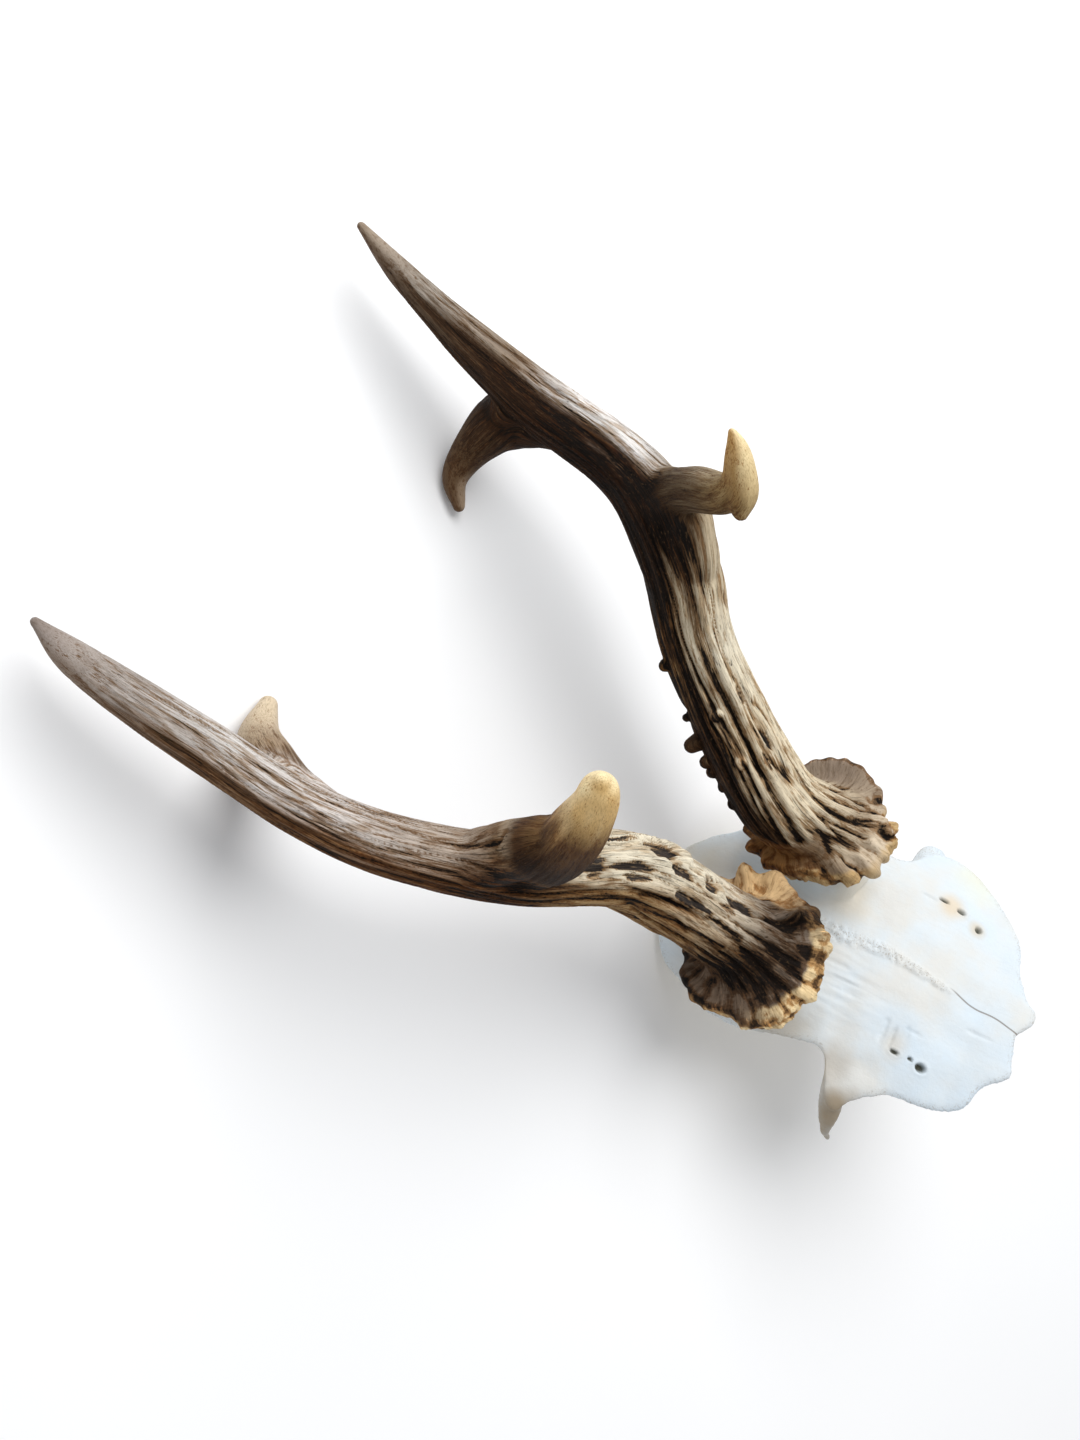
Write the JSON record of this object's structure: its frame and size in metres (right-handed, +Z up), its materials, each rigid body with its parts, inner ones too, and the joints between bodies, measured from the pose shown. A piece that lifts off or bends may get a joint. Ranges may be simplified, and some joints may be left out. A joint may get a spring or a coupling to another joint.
{
  "type": "roe deer skull cap with both antlers",
  "caption": "Roe buck's sawn skull cap with a pair of branched antlers, ruffled coronets, front and rear tines, lying on its rear edge and rear tines.",
  "frame": {"origin": "centre of the footprint's bounding box, on the surface that the cap's sawn rear edge and the rear tines lie on", "axes": "+Z up; +X to the animal's left; +Y from the front of the skull cap towards the antler tips"},
  "size_m": [0.1486, 0.2763, 0.1022],
  "materials": {
    "skull_bone": "bleached bone, satin",
    "antler": "ridged brown antler with pale crests, matt",
    "antler_tine": "grey-brown antler worn smooth towards cream tips, satin"
  },
  "bodies": {
    "root": {"skull_cap": "skull_bone", "left_lower_beam": "antler", "left_front_tine": "antler_tine", "left_upper_beam": "antler", "left_rear_tine": "antler_tine", "left_top_tine": "antler_tine", "right_lower_beam": "antler", "right_front_tine": "antler_tine", "right_upper_beam": "antler", "right_rear_tine": "antler_tine", "right_top_tine": "antler_tine"}
  },
  "joints": []
}
